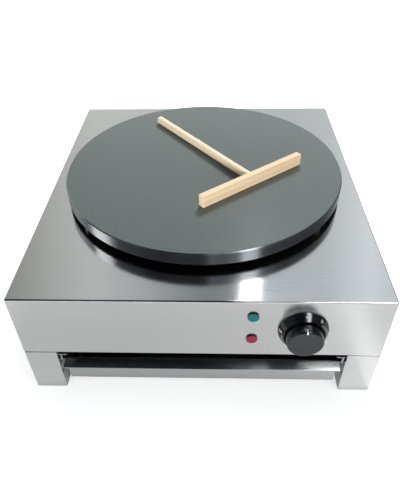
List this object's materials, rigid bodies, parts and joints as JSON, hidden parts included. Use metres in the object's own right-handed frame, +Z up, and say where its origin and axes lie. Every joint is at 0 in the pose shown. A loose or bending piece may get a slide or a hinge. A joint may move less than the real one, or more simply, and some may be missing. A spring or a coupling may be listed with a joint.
{
  "type": "electric crepe maker",
  "caption": "Countertop crepe maker with a round cast hotplate on a folded stainless housing, a thermostat knob, pilot lamps, a storage drawer and a wooden spreader.",
  "frame": {"origin": "on the worktop under the middle of the whole object, which is also the middle of the housing", "axes": "+X to the cook's right, +Y from the front panel to the back, +Z up"},
  "size_m": [0.45, 0.5458, 0.2167],
  "materials": {
    "stainless": "stainless sheet, brushed along its width",
    "plated_steel": "zinc-plated steel",
    "rubber": "moulded rubber",
    "cast_plate": "cast plate with a dark non-stick coating",
    "element_sheath": "heat-stained steel sheath",
    "ceramic": "glazed ceramic beads",
    "mineral_wool": "pressed mineral wool",
    "moulded_case": "heat-resistant moulding",
    "brass": "plain brass",
    "copper": "drawn copper tube",
    "gloss_black": "glossy black moulding",
    "knob_black": "satin black moulding",
    "green_lens": "translucent green lens",
    "red_lens": "translucent red lens",
    "lamp_case": "black moulding",
    "gland_black": "black nylon",
    "lead_sleeve": "silicone-sleeved copper",
    "beech": "plain pale beech"
  },
  "bodies": {
    "housing": {"housing_shell": "stainless", "base_panel": "stainless", "left_leg": "stainless", "right_leg": "stainless", "left_foot_plates": "stainless", "right_foot_plates": "stainless", "leg_screws": "plated_steel", "base_screws": "plated_steel", "plate_studs": "plated_steel", "plate_nuts": "plated_steel", "element_clamp": "plated_steel", "clamp_studs": "plated_steel", "clamp_nuts": "plated_steel", "heat_pan": "plated_steel", "bulb_clip": "plated_steel", "clip_screws": "plated_steel", "thermostat_screws": "plated_steel", "earth_stud": "plated_steel", "right_runner": "plated_steel", "left_runner": "plated_steel", "runner_rivets": "plated_steel", "element_pins": "plated_steel", "plate_spacer_back_right": "plated_steel", "plate_spacer_back_left": "plated_steel", "plate_spacer_front_left": "plated_steel", "plate_spacer_front_right": "plated_steel", "terminal_screws": "plated_steel", "foot_front_right": "rubber", "foot_back_right": "rubber", "foot_front_left": "rubber", "foot_back_left": "rubber", "gland_seal": "rubber", "hotplate": "cast_plate", "outer_element": "element_sheath", "inner_element": "element_sheath", "element_beads": "ceramic", "insulation_pad": "mineral_wool", "thermostat_case": "moulded_case", "terminal_block": "moulded_case", "thermostat_blades": "brass", "capillary_tube": "copper", "sensor_bulb": "copper", "dial_ring": "gloss_black", "green_lens": "green_lens", "red_lens": "red_lens", "green_lamp": "lamp_case", "red_lamp": "lamp_case", "lamp_nuts": "lamp_case", "gland_body": "gland_black", "gland_nut": "gland_black", "gland_locknut": "gland_black", "power_leads": "lead_sleeve", "element_links": "lead_sleeve", "lamp_leads": "lead_sleeve"},
    "drawer": {"drawer_tray": "stainless", "drawer_front": "stainless"},
    "control": {"control_knob": "knob_black", "thermostat_spindle": "plated_steel"},
    "spreader": {"spreader_bar": "beech", "spreader_handle": "beech"}
  },
  "joints": [
    {"name": "drawer_slide", "type": "slide", "parent": "housing", "child": "drawer", "axis": [0, -1, 0], "range_m": [0, 0.3]},
    {"name": "thermostat_turn", "type": "hinge", "parent": "housing", "child": "control", "pos_m": [0.1228, -0.26, 0.125], "axis": [0, 1, 0], "range_deg": [0, 281]},
    {"name": "spreader_lift", "type": "slide", "parent": "housing", "child": "spreader", "axis": [0, 0, 1], "range_m": [0, 0.15]}
  ]
}
